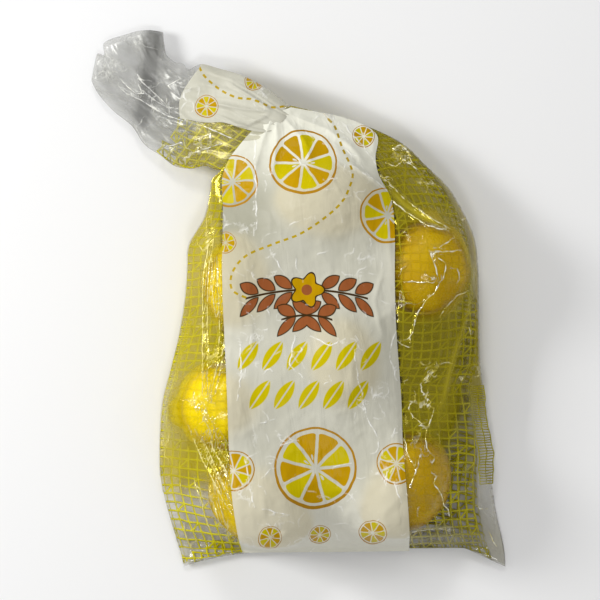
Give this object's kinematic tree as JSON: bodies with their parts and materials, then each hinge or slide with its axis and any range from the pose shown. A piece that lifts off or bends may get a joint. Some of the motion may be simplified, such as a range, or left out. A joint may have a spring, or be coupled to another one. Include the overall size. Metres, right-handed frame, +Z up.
{
  "type": "net of lemons",
  "caption": "Clear film bag with a yellow net and a white printed band, gathered to a loose tail at the neck, lying on its back with a single layer of whole lemons inside.",
  "frame": {"origin": "middle of the bag's box, on the surface that the bag lies on", "axes": "+Z up off the shown side, +Y from the bottom weld towards the neck, +X to the right of the shown side"},
  "size_m": [0.2484, 0.3236, 0.0668],
  "materials": {
    "film": "clear glossy polyethylene film, creased, seen here over the net and the lemons",
    "net": "satin knitted polyethylene net, lemon yellow",
    "print": "opaque white band with printed citrus slices, under gloss",
    "peel": "waxed, pitted lemon peel"
  },
  "bodies": {
    "root": {"lemon_bag": "film"}
  },
  "joints": []
}
